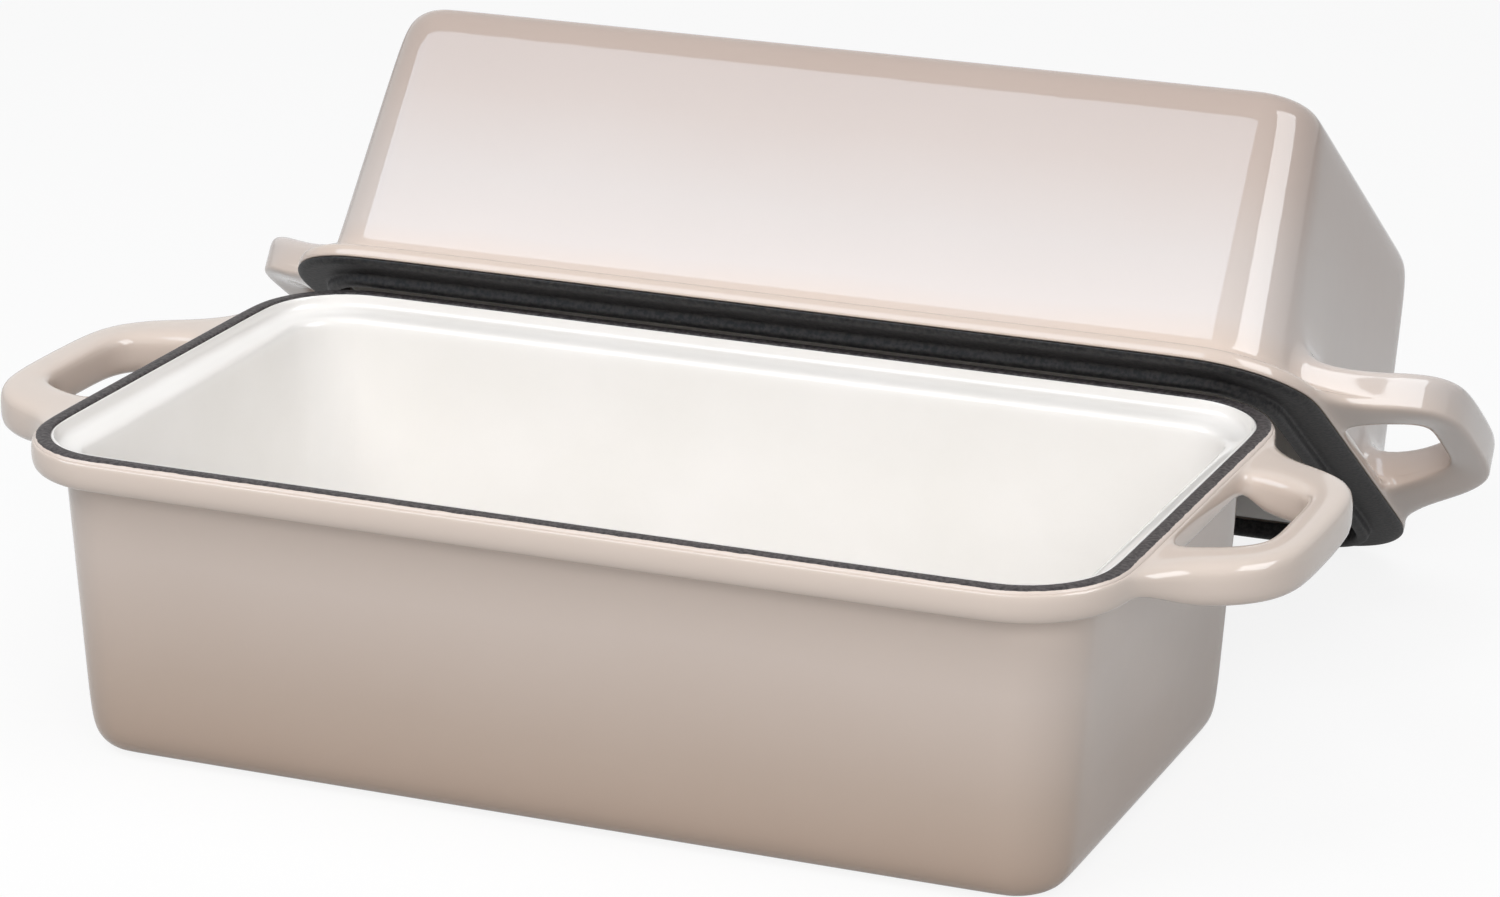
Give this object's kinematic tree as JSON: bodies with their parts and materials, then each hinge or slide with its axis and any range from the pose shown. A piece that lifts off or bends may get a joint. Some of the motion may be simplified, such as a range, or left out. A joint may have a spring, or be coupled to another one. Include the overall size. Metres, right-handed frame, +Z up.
{
  "type": "loaf pan with lid",
  "caption": "Enamelled cast iron loaf pan with loop handles and a deep matching lid, shown with the lid taken off and leaning behind it.",
  "frame": {"origin": "centre of the pan's flat underside, on the table", "axes": "+X along the loaf to the right, +Y to the back where the lid leans, +Z up"},
  "size_m": [0.2932, 0.2709, 0.1249],
  "materials": {
    "pan_enamel": "glossy blush enamel on cast iron, darker towards the base",
    "pan_lining": "glossy cream enamel",
    "pan_rim_iron": "bare matt iron",
    "pan_handle_enamel": "glossy blush enamel on cast iron",
    "lid_enamel": "glossy blush enamel on cast iron, darker towards the closed top",
    "lid_lining": "glossy cream enamel",
    "lid_rim_iron": "matt black iron",
    "lid_handle_enamel": "glossy blush enamel on cast iron"
  },
  "bodies": {
    "pan": {"pan_body": "pan_enamel", "pan_lining": "pan_lining", "pan_rim": "pan_rim_iron", "pan_handle_left": "pan_handle_enamel", "pan_handle_right": "pan_handle_enamel"},
    "lid": {"lid_body": "lid_enamel", "lid_lining": "lid_lining", "lid_rim": "lid_rim_iron", "lid_handle_left": "lid_handle_enamel", "lid_handle_right": "lid_handle_enamel"}
  },
  "joints": [
    {"name": "lid_lift", "type": "slide", "parent": "pan", "child": "lid", "axis": [0, 0, 1], "range_m": [0, 0.15]}
  ]
}
